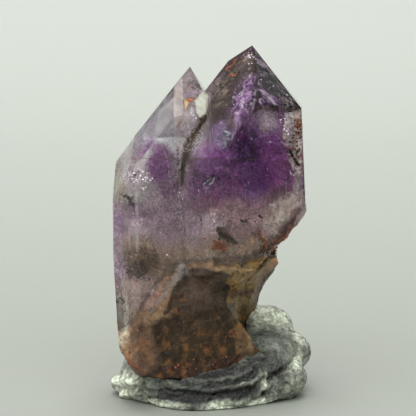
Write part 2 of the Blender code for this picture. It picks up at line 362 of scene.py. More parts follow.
# Colours as they look, from the top of the crystals down
BRIGHTNESS = 0.62  # what a white surface facing the viewer looks like in this light
GLARE = 0.014  # what the polished skin adds to everything under it
SMOKE = srgb(60, 51, 47)
SMOKE_IN_SHADE = srgb(34, 28, 32)
VIOLET = srgb(138, 98, 140)
PURPLE = srgb(104, 64, 100)
DEEP = srgb(72, 38, 76)
GRAPE = srgb(100, 58, 106)
GRAPE_PALE = srgb(104, 74, 106)
HAZE = srgb(140, 109, 112)
ROSE = srgb(168, 138, 136)
MIST = srgb(176, 152, 164)
PEARL = srgb(156, 142, 142)
GREY_BLUE = srgb(164, 165, 172)
LILAC = srgb(136, 112, 124)
MAUVE = srgb(100, 76, 98)
OLIVE = srgb(84, 72, 50)
SAND = srgb(136, 112, 96)
BAND = srgb(132, 105, 82)
SLATE = srgb(72, 58, 48)
BROWN = srgb(60, 45, 28)
RUST = srgb(122, 78, 40)
PALE = srgb(152, 142, 126)

# Edges of the pale band round the foot of the head and top of the brown stem, in pixels of the photograph
BAND_TOP = [(100, 345), (135, 318), (150, 296), (168, 270), (186, 264), (211, 259), (231, 262), (251, 257),
            (276, 256), (300, 242)]
BAND_LOW = [(100, 365), (156, 322), (169, 313), (176, 295), (189, 276), (201, 272), (231, 274), (300, 262)]
BROWN_TOP = [(100, 372), (150, 345), (160, 330), (184, 313), (207, 309), (231, 300), (300, 290)]

# Left and right edge of the violet phantom, as pixels down and across
PHANTOM_LEFT = [(75, 252), (88, 236), (100, 231), (125, 226), (150, 214), (170, 192), (190, 150)]
PHANTOM_RIGHT = [(75, 252), (92, 262), (98, 270), (106, 288), (112, 310)]

# Rows or columns of pixels at which or over which a colour, a cloud or rust sets in
TIP_MIDDLE = 256
PHANTOM_END = (150, 125)
HAZE_TOP = (182, 214)
ROSE_TOP, ROSE_BOTTOM, ROSE_LEFT = (185, 205), (225, 205), (262, 285)
WINDOW_RIGHT, WINDOW_BOTTOM = (176, 172), (158, 146)
SAND_TOP, SIDE_SAND_TOP = (226, 250), (235, 262)
SLATE_LEFT, BROWN_LEFT = (140, 160), (138, 165)
STEM_TOP = 250
STEM_RUST_TOP, RUSTY_TOP = (300, 345), (200, 260)
CLOUDY_TOP = (225, 262)
BACK_TOP, BACK_LOW = 275, 285  # edges of the pale band at the back

# Depths below the tip faces, in millimetres
PHANTOM_TOP, PHANTOM_LOW = (2.1, 2.5), (5.5, 4.0)
PURPLE_TOP = (3.4, 5.5)
THICK_TOP, SIDE_THICK_TOP = (1.8, 3.0), (2.5, 7.0)
LILAC_TOP = (3.5, 8.0)

# Patches on the stem: outline in pixels, softness of its edge in pixels and colour
PATCHES = [
    ([(183, 268), (200, 267), (214, 269), (229, 273), (229, 283), (223, 292), (222, 303), (207, 308),
      (190, 310), (172, 314), (165, 312), (169, 300), (174, 286)], 1.5, srgb(56, 43, 34)),
    ([(196, 272), (222, 276), (220, 290), (205, 298), (188, 300), (182, 290)], 4, srgb(72, 56, 47)),
    ([(150, 322), (172, 314), (207, 309), (222, 303), (228, 312), (236, 330), (238, 350), (215, 358),
      (190, 362), (165, 360), (156, 345)], 3, srgb(36, 25, 13)),
    ([(165, 330), (200, 318), (222, 322), (224, 345), (196, 354), (170, 350)], 6, srgb(48, 34, 17)),
    ([(247, 258), (278, 257), (266, 285), (260, 310), (254, 332), (243, 325), (234, 315), (226, 303),
      (224, 290), (232, 273)], 1.5, srgb(126, 99, 58)),
    ([(236, 263), (250, 262), (256, 275), (244, 284), (233, 279)], 3, srgb(124, 100, 68)),
    ([(228, 288), (242, 291), (260, 288), (258, 296), (240, 297), (228, 295)], 1.5, srgb(84, 58, 34)),
    ([(240, 300), (252, 298), (252, 318), (243, 320)], 3, srgb(96, 76, 44)),
    ([(224, 284), (229, 286), (227, 300), (230, 312), (225, 306), (222, 294)], 1.5, srgb(36, 28, 20)),
    ([(237, 326), (247, 322), (253, 335), (253, 349), (240, 353), (234, 344)], 2, srgb(80, 60, 38)),
    ([(246, 330), (251, 333), (252, 345), (247, 346)], 2.5, srgb(112, 90, 66)),
    ([(146, 362), (190, 363), (215, 358), (240, 352), (247, 358), (215, 370), (180, 378),
      (146, 378)], 3, srgb(46, 30, 20)),
    ([(131, 318), (150, 322), (156, 345), (158, 362), (142, 374), (131, 358)], 5, srgb(86, 64, 50)),
    ([(108, 296), (131, 292), (131, 354), (122, 350), (110, 322)], 2.5, srgb(124, 98, 72)),
    ([(279, 256), (272, 260), (263, 285), (256, 308), (250, 330), (256, 334), (264, 312), (272, 286),
      (282, 262)], 1.5, srgb(180, 112, 56)),
    ([(116, 352), (131, 354), (146, 374), (132, 376), (118, 364)], 2, srgb(92, 54, 36)),
]

# Soft clouds: pixel of the photograph, depth, radii across, deep and up in mm, turn, colour, strength
CLOUDS = [
    ((247, 150), 3.0, (2.6, 5.0, 3.8), 15, DEEP, 1.0),
    ((258, 172), 3.0, (3.2, 5.0, 2.4), -30, DEEP, 0.9),
    ((238, 178), 3.0, (3.4, 6.0, 3.0), 0, PURPLE, 0.9),
    ((266, 150), 3.0, (2.6, 4.0, 3.4), 0, GRAPE, 0.9),
    ((222, 163), 3.0, (3.6, 5.0, 3.0), -15, GRAPE, 0.85),
    ((200, 178), 3.0, (2.4, 5.0, 3.4), -20, GRAPE, 0.85),
    ((213, 190), 3.0, (3.0, 5.0, 1.8), 0, PURPLE, 0.8),
    ((265, 122), 1.2, (2.0, 2.5, 2.0), 15, MIST, 0.85),
    ((219, 133), 1.5, (1.7, 2.5, 2.4), 25, srgb(90, 72, 100), 0.8),
    ((222, 142), 1.0, (0.9, 2.0, 1.1), 30, srgb(112, 104, 128), 0.5),
    ((278, 196), 2.0, (1.8, 3.0, 1.8), 0, SMOKE, 0.6),
    ((278, 222), 2.0, (3.4, 4.0, 1.8), 0, ROSE, 0.9),
    ((208, 222), 1.5, (2.0, 3.0, 1.6), 0, MIST, 0.5),
    ((162, 154), 2.0, (1.6, 5.0, 2.6), 55, MAUVE, 1.0),
    ((160, 168), 2.0, (2.6, 4.0, 2.6), 0, GRAPE_PALE, 1.0),
    ((168, 188), 2.0, (1.8, 4.0, 1.6), 0, MAUVE, 0.9),
    ((117, 215), 1.0, (1.6, 5.0, 3.4), 0, srgb(98, 58, 110), 1.0),
    ((140, 212), 2.0, (2.6, 4.0, 1.4), 0, MAUVE, 0.7),
    ((146, 228), 2.0, (2.2, 4.0, 1.4), 0, MIST, 0.6),
    ((165, 235), 2.0, (1.8, 4.0, 2.0), 0, LILAC, 0.6),
    ((142, 262), 1.5, (2.8, 4.0, 2.4), 0, srgb(84, 69, 58), 0.85),
    ((133, 180), 1.5, (2.2, 3.0, 2.4), 0, PEARL, 0.9),
    ((226, 235), 1.0, (1.4, 2.0, 0.8), -45, srgb(80, 58, 40), 0.6),
    ((216, 261), 0.6, (0.5, 1.0, 0.5), 0, SLATE, 1.0),
    ((190, 132), 1.0, (1.3, 3.0, 3.0), 25, PEARL, 0.9),
    # The next two slate clouds, along the left of the groove, are painted shade.
    ((188, 152), 0.8, (0.6, 3.0, 2.6), 20, SLATE, 0.9),
    ((184, 175), 0.8, (0.5, 3.0, 2.0), 5, SLATE, 0.9),
    ((296, 142), 1.0, (1.1, 5.0, 4.4), 0, SAND, 0.9),
    ((288, 102), 1.0, (1.8, 3.0, 0.9), 0, srgb(124, 112, 114), 0.9),
    ((120, 172), 1.0, (0.9, 5.0, 2.6), 15, PALE, 0.8),
    ((119, 170), 0.8, (0.35, 5.0, 1.8), 15, OLIVE, 0.8),
    ((121, 308), 1.0, (1.7, 5.0, 4.5), 0, srgb(226, 208, 184), 1.0),
    ((119, 182), 1.0, (1.2, 4.0, 4.5), 5, srgb(128, 116, 98), 0.9),
    ((145, 290), 1.5, (3.4, 4.0, 2.6), 0, ROSE, 0.7),
    ((119, 258), 0.8, (1.3, 5.0, 5.0), 0, srgb(150, 122, 152), 0.85),
    ((249, 57), 1.0, (0.9, 1.5, 0.9), 0, OLIVE, 0.8),
    ((300, 184), 0.6, (1.0, 4.0, 2.8), 0, srgb(178, 164, 164), 0.9),
    ((284, 226), 0.8, (2.6, 4.0, 1.8), 0, srgb(208, 176, 160), 0.9),
    ((259, 245), 0.6, (1.8, 3.0, 1.3), 0, srgb(196, 152, 124), 0.9),
    ((201, 204), 2.0, (2.4, 4.0, 1.6), 0, srgb(88, 60, 76), 0.8),
]
CLOUD_MIDDLES = [lodged(*spot, depth) for spot, depth, *_ in CLOUDS]


# Where rust has grown: pixel, radii in mm, turn and strength
RUST_SPOTS = [
    ((245, 225), (9.0, 4.0), 0, 0.35),
    ((180, 225), (9.0, 5.0), 0, 0.25),
    ((170, 300), (4.5, 3.0), -30, 0.9),
    ((200, 362), (5.0, 1.4), 8, 0.6),
    ((126, 345), (2.0, 5.0), 0, 0.8),
    ((212, 340), (3.5, 2.5), 0, 0.7),
    ((240, 325), (3.0, 3.0), 30, 0.8),
    ((280, 238), (5.0, 1.6), 48, 1.0),
    ((268, 272), (2.0, 5.0), -15, 0.9),
    ((258, 310), (2.0, 4.0), -15, 0.9),
    ((296, 140), (1.6, 4.5), 0, 0.7),
    ((236, 62), (2.2, 0.9), 45, 0.6),
    ((212, 245), (2.5, 2.0), 0, 0.7),
    ((187, 105), (0.8, 0.9), 0, 1.0),
]


def rustiness(q):
    """From 0 on clean quartz to 1 where rust has grown."""
    px, py = pixel(q)
    amount = 0.1 + 0.25 * smooth(*RUSTY_TOP, py)
    for (cx, cy), radii, turn, strength in RUST_SPOTS:
        if abs(px - cx) < 70 and abs(py - cy) < 70:
            centre = seen(cx, cy, q.y)
            amount = max(amount, strength * blob(q, centre, (radii[0], 5.0, radii[1]), turn, 0.5, 2.0))
    return amount


def stained(q):
    """From 0 on the clear crystal to 1 on the etched stem."""
    px, py = pixel(q)
    front = smooth(4.0, -2.0, q.y)
    wave = 6 * fbm(q, 2.2, 2)
    top = profile(px, BAND_TOP) * front + BACK_TOP * (1 - front)
    low = profile(px, BAND_LOW) * front + BACK_LOW * (1 - front)
    return 0.45 * smooth(-5, 8, py - top + wave) + 0.55 * smooth(-2, 5, py - low + wave)


def under_glass(colour):
    """The colour of a surface that looks like this one when it is seen through the crystal's face."""
    lit = [max(0.004, c - GLARE) / BRIGHTNESS for c in colour]
    return tuple(min(0.96, c / (0.38 + 0.6 * c)) for c in lit)


def in_air(colour):
    """The colour of a bare surface that looks like this one."""
    return tuple(min(0.96, c / BRIGHTNESS) for c in colour)


def tint(q):
    """Colour and cloudiness of the quartz at a point."""
    px, py = pixel(q)
    side = in_side(q)
    wave = fbm(q, 5.0)
    fine = fbm(q + Vector((9, 4, 2)), 1.5)
    head_depth = below_tip(q, HEAD_TIP_FACES) + 0.8 * wave
    side_depth = below_tip(q, SIDE_TIP_FACES) + 0.8 * wave

    # The head: smoky tip, violet phantom, deep purple, then paler downwards
    # Painted shade: the tip's right-hand face gets a darker smoke colour.
    smoke = mix(SMOKE, SMOKE_IN_SHADE, smooth(-1.5, 1.5, (px - TIP_MIDDLE) / 5 + 2.5 * fine))
    violet = smooth(*PHANTOM_TOP, head_depth) * smooth(*PHANTOM_LOW, head_depth)
    colour = mix(smoke, VIOLET, 0.85 * violet)
    colour = mix(colour, PURPLE, smooth(*PURPLE_TOP, head_depth))
    border = max(profile(py, PHANTOM_LEFT) - px, px - profile(py, PHANTOM_RIGHT)) + 6 * fine
    colour = mix(colour, smoke, 0.9 * smooth(-2, 2, border) * smooth(*PHANTOM_END, py))
    colour = mix(colour, HAZE, smooth(*HAZE_TOP, py + 14 * wave + 8 * fine))
    rosy = smooth(*ROSE_BOTTOM, py) * smooth(*ROSE_TOP, py) * smooth(*ROSE_LEFT, px)
    colour = mix(colour, ROSE, rosy * 0.7)
    cloud = 0.85 + 0.15 * smooth(*THICK_TOP, head_depth)

    # The side crystal: pearly above, lilac in the middle
    pale = mix(PEARL, LILAC, smooth(*LILAC_TOP, side_depth + 2 * fine))
    pale = mix(pale, MAUVE, 0.5 * smooth(0.0, 0.45, wave) * smooth(*LILAC_TOP, side_depth))
    pale = mix(pale, SAND, smooth(*SIDE_SAND_TOP, py + 14 * wave))
    window = smooth(*WINDOW_RIGHT, px) * smooth(*WINDOW_BOTTOM, py)
    pale = mix(pale, GREY_BLUE, window)
    colour = mix(colour, pale, side)
    thick = 0.35 + 0.35 * smooth(*SIDE_THICK_TOP, side_depth)
    cloud = cloud + (thick * (1 - 0.4 * window) - cloud) * side

    # Both: sand, and then the bands of the stem
    colour = mix(colour, SAND, smooth(*SAND_TOP, py + 14 * wave))
    colour = mix(colour, BAND, smooth(-3, 5, py - profile(px, BAND_TOP) + 8 * fine))
    below_band = smooth(-4, 4, py - profile(px, BAND_LOW) + 8 * fine)
    colour = mix(colour, SLATE, below_band * smooth(*SLATE_LEFT, px))
    below_slate = smooth(-6, 8, py - profile(px, BROWN_TOP) + 8 * wave)
    colour = mix(colour, BROWN, below_slate * smooth(*BROWN_LEFT, px))
    if py > STEM_TOP and q.y < 5:
        x, y = px + 4 * fine, py + 4 * fbm(q + Vector((2, 8, 1)), 1.2, 2)
        reach = smooth(5.0, 3.0, q.y)
        for outline, soft, shade in PATCHES:
            colour = mix(colour, shade, reach * smooth(-soft, soft, within(x, y, outline)))
    colour = mix(colour, RUST, 0.4 * smooth(0.0, 0.4, fine) * smooth(*STEM_RUST_TOP, py))
    cloud = max(cloud, smooth(*CLOUDY_TOP, py))

    for centre, ((cx, cy), _, radii, turn, shade, strength) in zip(CLOUD_MIDDLES, CLOUDS):
        if abs(px - cx) > 60 or abs(py - cy) > 60:
            continue
        share = blob(q, centre, radii, turn) * strength
        if share > 0:
            colour = mix(colour, shade, share)
            cloud = max(cloud, share)
    shade = 1 + 0.35 * fine
    return tuple(c * shade for c in colour), min(1.0, max(0.05, cloud * (1 + 0.5 * fine)))


# Materials of the crystal
def quartz_volume(m):
    volume = m.add("VolumeAbsorption", Color=(0.74, 0.62, 0.76, 1), Density=30.0)
    m.give(m.tree.nodes["Material Output"], "Volume", volume.outputs[0])


def quartz_material():
    m = Nodes("clear quartz")
    growth = m.noise(m.place((25, 25, 1)), 1500.0, 2.0)
    pits = m.noise(m.place(), 900.0, 3.0, 0.55)
    frost = m.ramp(m.noise(m.place(), 260.0, 4.0, 0.6), [(0.55, 0.0), (0.8, 0.05)])
    near_stem = m.math("MULTIPLY", m.attribute("frost"), 0.45)
    m.set(Base_Color=(1, 1, 1, 1), IOR=QUARTZ_IOR, Transmission_Weight=1.0)
    m.set(Roughness=m.math("ADD", frost, near_stem))
    m.set(Normal=m.bump(pits, 0.00005, 0.2, Normal=m.bump(growth, 0.00003, 0.15)))
    quartz_volume(m)
    return m.material


def stained_material():
    m = Nodes("stained quartz")
    place = m.place()
    small = m.noise(place, 1300.0, 5.0, 0.66)
    grain = m.ramp(small, [(0.28, 0.45), (0.5, 1.0), (0.75, 1.6)])
    body = m.blend(1.0, m.attribute("tint", "Color"), grain, "MULTIPLY")
    growth = m.noise(place, 760.0, 5.0, 0.72, 0.8)
    limit = m.math("SUBTRACT", 0.74, m.math("MULTIPLY", m.attribute("rust"), 0.27))
    veins = m.ramp(m.math("SUBTRACT", growth, limit), [(0.0, 0.0), (0.14, 0.75)])
    tone = m.ramp(small, [(0.35, srgb(78, 42, 28)), (0.5, srgb(116, 72, 40)), (0.65, srgb(146, 106, 60))])
    etched = m.attribute("frost")
    cover = m.ramp(etched, [(0.0, 0.0), (0.2, 1.0)])
    m.set(Base_Color=m.blend(cover, (1, 1, 1), m.blend(veins, body, tone)))
    clear = m.ramp(etched, [(0.0, 1.0), (0.1, 0.97), (0.4, 0.5), (0.7, 0.2)])
    m.set(Transmission_Weight=m.math("MULTIPLY", clear, m.math("SUBTRACT", 1.0, veins)))
    gloss = m.ramp(small, [(0.3, 0.2), (0.7, 0.6)])
    m.set(Roughness=m.math("MULTIPLY", gloss, m.ramp(etched, [(0.0, 0.1), (0.5, 0.8)])))
    m.set(IOR=QUARTZ_IOR, Specular_IOR_Level=0.35, Normal=m.bump(small, 0.0002, 0.7))
    quartz_volume(m)
    return m.material


def cloud_material(name, strength, low, high):
    """Haze with fine grain, dark cracks and rusty flecks; its colour and density come with the mesh."""
    m = Nodes(name)
    place = m.place()
    shade = m.ramp(m.noise(place, 3200.0, 3.0, 0.7), [(0.3, 0.35), (0.5, 1.0), (0.72, 2.0)])
    body = m.blend(1.0, m.attribute("tint", "Color"), shade, "MULTIPLY")
    cracks = m.ramp(m.noise(place, 240.0, 6.0, 0.72, 1.2), [(0.485, 0.0), (0.5, 0.55), (0.515, 0.0)])
    body = m.blend(cracks, body, srgb(40, 30, 32))
    limit = m.math("SUBTRACT", 0.80, m.math("MULTIPLY", m.attribute("rust"), 0.23))
    flecks = m.math("SUBTRACT", m.noise(place, 2600.0, 2.0, 0.6), limit)
    flecks = m.ramp(flecks, [(0.0, 0.0), (0.05, 1.0)])
    tone = m.ramp(m.noise(place, 900.0, 2.0), [(0.4, srgb(128, 54, 36)), (0.6, srgb(186, 110, 50))])
    wisps = m.ramp(m.noise(place, 420.0, 5.0, 0.66, 0.6), [(0.36, low), (0.62, high)])
    density = m.math("MULTIPLY", m.math("MULTIPLY", m.attribute("cloud"), wisps), strength)
    density = m.math("MINIMUM", m.math("MAXIMUM", density, flecks), 1.0)
    m.set(Base_Color=m.blend(flecks, body, tone), Alpha=density, Roughness=0.6, Specular_IOR_Level=0.2)
    return m.material


# The skin: flat growth faces and rough etched ones
BROAD = 2.5  # least area of a growth face, in square millimetres
FLAT_EDGE, ROUGH_EDGE = 1.6, 0.32  # longest edges on flat and on rough faces, in millimetres
UNDERCUT = (2.0, 20.5)  # left and upper end of the undercut on the right, in millimetres
WORN_RIGHT = 240  # column of pixels up to which the stem's edges are worn soft
SWELL_LEFT, SWELL_TOP = (244, 254), (256, 266)  # pixels over which the stem's right side swells


def rough_faces(faces_by_plane):
    """Faces that look down, lie in the undercut on the right or outside the broad planes are rough."""
    rough = set()
    for faces in faces_by_plane.values():
        area = sum(face.calc_area() for face in faces) / MM / MM
        for face in faces:
            middle = model(face.calc_center_median())
            in_undercut = middle.x > UNDERCUT[0] and middle.z < UNDERCUT[1]
            if area < BROAD or face.normal.z < -0.15 or in_undercut:
                rough.add(face)
    return rough


def make_skin():
    bm = bmesh_of(crystal_mesh)
    broken = bm.faces.layers.int.new("broken")
    tints = bm.verts.layers.float_color.new("tint")
    rusts = bm.verts.layers.float.new("rust")
    frosts = bm.verts.layers.float.new("frost")
    bm.normal_update()
    planes = {}
    for face in bm.faces:
        offset = round(face.calc_center_median().dot(face.normal) / MM, 1)
        planes.setdefault(tuple(round(c, 2) for c in face.normal) + (offset,), []).append(face)
    for face in rough_faces(planes):
        face[broken] = 1

    def is_long(edge):
        length = edge.calc_length() / MM
        if length <= ROUGH_EDGE:
            return False
        return length > FLAT_EDGE or edge.link_faces[0][broken] or stained(model(edge.verts[0].co)) > 0.01

    split_long(bm, is_long, 8, fill=True)
    worn = []
    for vert in bm.verts:
        q = model(vert.co)
        if pixel(q)[0] < WORN_RIGHT and stained(q) > 0.35:
            worn.append(vert)
    soften(bm, worn, 14)
    bm.normal_update()
    moves = []
    for vert in bm.verts:
        q = model(vert.co)
        rough = [face[broken] for face in vert.link_faces]
        etched = 1.0 if any(rough) else stained(q)
        # Painted shade: etched faces that look up get a darker colour, to hold back the light they catch from
        # above.
        painted_dimming = 1 - 0.6 * smooth(0.1, 0.4, vert.normal.z) * smooth(0.0, 0.5, etched)
        vert[tints] = (*(painted_dimming * c for c in in_air(tint(q)[0])), 1)
        vert[rusts] = rustiness(q)
        vert[frosts] = etched
        if etched > 0 and any(rough) == all(rough):
            px, py = pixel(q)
            swell = 0.25 * smooth(*SWELL_LEFT, px) * smooth(*SWELL_TOP, py) - 0.04
            moves.append((vert, vert.normal * MM * etched * (0.20 * fbm(q, 1.1, 3) + swell)))
    for face in bm.faces:
        if face[broken] or stained(model(face.calc_center_median())) > 0.02:
            face.material_index = 1
            face.smooth = True
    for vert, move in moves:
        vert.co += move
    mesh = mesh_from(bm, "quartz_skin")
    skin = new_piece("quartz_skin", mesh, quartz_material(), stained_material(), slot="amethyst")
    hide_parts("amethyst_scepter")


# The clouds inside: shells nested under the skin
CELL, CLOUD_CELL = 0.4, 0.45  # sizes of the even faces, in millimetres
INSET_STEP = 0.7  # how far the surface moves at a time, in millimetres


def inset_shape(depth):
    """The crystal's shape with its surface moved inwards, a little at a time so that it stays whole."""
    piece = bpy.data.objects.new("inset", crystal_mesh.copy())
    scene.collection.objects.link(piece)
    remesh(piece, CELL)
    left = depth
    while left > 1e-6:
        move = min(INSET_STEP, left)
        push = piece.modifiers.new("Inwards", "DISPLACE")
        push.strength = -move * MM
        push.mid_level = 0
        apply_to(piece)
        remesh(piece, CELL)
        left -= move
    remesh(piece, CLOUD_CELL)
    mesh = piece.data
    bpy.data.objects.remove(piece)
    return mesh


def make_cloud(name, depth, strength, low, high, ripple=0.25):
    """A shell of haze this many millimetres under the skin."""
    mesh = inset_shape(depth)
    colours, amounts, rusts = [], [], []
    normals = [vert.normal.copy() for vert in mesh.vertices]
    for vert, normal in zip(mesh.vertices, normals):
        q = model(vert.co)
        vert.co += normal * ripple * MM * fbm(q, 1.8, 2)
        colour, amount = tint(q)
        colours.extend((*under_glass(colour), 1))
        amounts.append(amount)
        rusts.append(rustiness(q))
    mesh.attributes.new("tint", "FLOAT_COLOR", "POINT").data.foreach_set("color", colours)
    for key, values in (("cloud", amounts), ("rust", rusts)):
        mesh.attributes.new(key, "FLOAT", "POINT").data.foreach_set("value", values)
    mesh.shade_smooth()
    new_piece(name, mesh, cloud_material(name.replace("_", " "), strength, low, high), slot="amethyst")


make_skin()
make_cloud("cloud_outer", 0.8, 0.4, 0.0, 1.6, ripple=0.15)
make_cloud("cloud_middle", 1.6, 0.75, 0.2, 1.4)
make_cloud("cloud_inner", 2.8, 1.0, 0.7, 1.4)


# Flecks, glints, cracks and old faces inside
GLEAM = Vector((0.0, -0.85, 0.53)).normalized()  # halfway between the viewer and the light above
CIRCLE = 6.283
GRAIN_FLATNESS = 0.5
SEAM_STEP = 1.2  # pixels between two rows of a seam
VEIL_EDGE = 2.2  # longest edge of a veil in pixels
TORN = 1.2  # millimetres above which a face of a seam or veil bridges a gap and goes


class Specks:
    """Many small grains or flakes gathered in one mesh."""

    def __init__(self, seed, depths, kind):
        self.bm = bmesh.new()
        self.rng = random.Random(seed)
        self.depths = depths
        self.kind = kind

    def grain(self, centre, size):
        rng = self.rng
        turn = Euler([rng.uniform(0, 6.28) for _ in range(3)])
        made = bmesh.ops.create_icosphere(self.bm, subdivisions=1, radius=size * MM)
        for vert in made["verts"]:
            p = vert.co.copy()
            p.z *= GRAIN_FLATNESS
            p *= rng.uniform(0.6, 1.3)
            p.rotate(turn)
            vert.co = p + world(centre)

    def plate(self, centre, size, skin_normal):
        """A flake that lies so that it sends light from above to the front, give or take some degrees."""
        rng = self.rng
        across = GLEAM - skin_normal * GLEAM.dot(skin_normal)
        inner = across / QUARTZ_IOR + skin_normal * math.sqrt(1 - across.length_squared / QUARTZ_IOR ** 2)
        inner += Vector([rng.gauss(0, 0.16) for _ in range(3)])
        turn = inner.to_track_quat("Z", "Y")
        corners = rng.randint(4, 6)
        verts = []
        for index in range(corners):
            angle = CIRCLE * (index + rng.uniform(-0.3, 0.3)) / corners
            p = Vector((math.cos(angle), math.sin(angle), 0)) * size * MM * rng.uniform(0.5, 1.0)
            p.rotate(turn)
            verts.append(self.bm.verts.new(p + world(centre)))
        face = self.bm.faces.new(verts)
        bmesh.ops.extrude_face_region(self.bm, geom=[face])

    def put(self, px, py, depth, size):
        found = lodged(px, py, depth, with_normal=True)
        if found and self.kind == "grain":
            self.grain(found[0], size)
        elif found:
            self.plate(found[0], size, found[1])

    def chain(self, points, spacing, spread, small, large, depth=0.2):
        """Grains along a line of pixels."""
        rng = self.rng
        for (x0, y0), (x1, y1) in zip(points, points[1:]):
            length = math.hypot(x1 - x0, y1 - y0)
            for step in range(max(1, round(length / spacing))):
                t = (step + rng.random()) * spacing / length
                x = x0 + (x1 - x0) * t + rng.gauss(0, spread)
                y = y0 + (y1 - y0) * t + rng.gauss(0, spread)
                self.put(x, y, depth, rng.uniform(small / 100, large / 100))

    def zone(self, x, y, across, down, turn, count, small, large, *depths):
        """Grains in an oval of pixels."""
        rng = self.rng
        c, s = math.cos(math.radians(turn)), math.sin(math.radians(turn))
        for _ in range(count):
            a, r = rng.uniform(0, CIRCLE), math.sqrt(rng.random())
            u, v = across * r * math.cos(a), down * r * math.sin(a)
            size = rng.uniform(small / 100, large / 100) * (0.6 + 0.8 * rng.random() ** 3)
            depth = rng.uniform(*(depths or self.depths))
            self.put(x + u * c - v * s, y + u * s + v * c, depth, size)


def seam(name, points, width, depth, material, seed, gaps):
    """A ragged ribbon just under the crystal's face, along a line of pixels."""
    rng = random.Random(seed)
    bm = bmesh.new()
    last = None
    for (x0, y0), (x1, y1) in zip(points, points[1:]):
        length = math.hypot(x1 - x0, y1 - y0)
        across = Vector((y0 - y1, x1 - x0)) / length
        for step in range(int(length / SEAM_STEP)):
            t = step * SEAM_STEP / length
            middle = Vector((x0 + (x1 - x0) * t, y0 + (y1 - y0) * t))
            middle += across * width * 0.5 * noise.noise(Vector((middle.x * 0.25, middle.y * 0.25, seed)))
            half = width * (0.25 + 0.45 * rng.random())
            row = []
            for share in (-1.0, -0.35, 0.35, 1.0):
                spot = middle + across * half * share
                point = lodged(spot.x, spot.y, depth * (0.7 + 0.6 * rng.random()))
                row.append(bm.verts.new(world(point)) if point else None)
            if last and all(row) and all(last) and rng.random() > gaps:
                for a, b, c, d in zip(last, last[1:], row[1:], row):
                    if max((a.co - d.co).length, (b.co - c.co).length) < TORN * MM:
                        bm.faces.new((a, b, c, d))
            last = row
    new_piece(name, mesh_from(bm, name, smooth=True), material, slot="amethyst")


def speck_material(name, colours, roughness, metallic=0.0):
    m = Nodes(name)
    stops = [(0.3 + 0.4 * i / (len(colours) - 1), srgb(*colour)) for i, colour in enumerate(colours)]
    m.set(Base_Color=m.ramp(m.noise(m.place(), 700.0, 2.0), stops), Roughness=roughness, Metallic=metallic)
    return m.material


def veil_material(name, colours, cover, streak=0.0, stretch=1.0):
    """A thin mottled or streaked sheet, such as a healed crack or an old face of the crystal."""
    m = Nodes(name)
    place = m.place((1, 1, stretch), streak)
    patch = m.noise(place, 1100.0, 5.0, 0.72, 0.4)
    last = len(colours) - 1
    stops = [(0.36 + 0.28 * i / last, under_glass(srgb(*shade))) for i, shade in enumerate(colours)]
    holes = m.ramp(m.noise(place, 600.0, 5.0, 0.7), [(0.35, cover[0]), (0.6, cover[1])])
    alpha = m.math("MULTIPLY", holes, m.attribute("edge"))
    m.set(Base_Color=m.ramp(patch, stops), Alpha=alpha, Roughness=0.5)
    return m.material


def veil(name, outline, depth, soft, *look):
    """A sheet under the skin that fills an outline of pixels and fades at its edge over soft pixels."""
    bm = bmesh.new()
    edges = bm.verts.layers.float.new("edge")
    bm.faces.new([bm.verts.new((x, y, 0)) for x, y in outline])
    bmesh.ops.triangulate(bm, faces=bm.faces[:])
    split_long(bm, lambda edge: edge.calc_length() > VEIL_EDGE, 6)
    lost = []
    for vert in bm.verts:
        ragged = soft * noise.noise(Vector((vert.co.x * 0.3, vert.co.y * 0.3, 7.0)))
        vert[edges] = smooth(0.0, soft, within(vert.co.x, vert.co.y, outline) + 0.2 * soft + ragged)
        point = lodged(vert.co.x, vert.co.y, depth)
        if point is None:
            lost.append(vert)
        else:
            vert.co = world(point)
    bmesh.ops.delete(bm, geom=lost, context="VERTS")
    torn = [face for face in bm.faces if max(edge.calc_length() for edge in face.edges) > TORN * MM]
    bmesh.ops.delete(bm, geom=torn, context="FACES")
    bmesh.ops.recalc_face_normals(bm, faces=bm.faces[:])
    material = veil_material(name.replace("_", " "), *look)
    new_piece(name, mesh_from(bm, name, smooth=True), material, slot="amethyst")


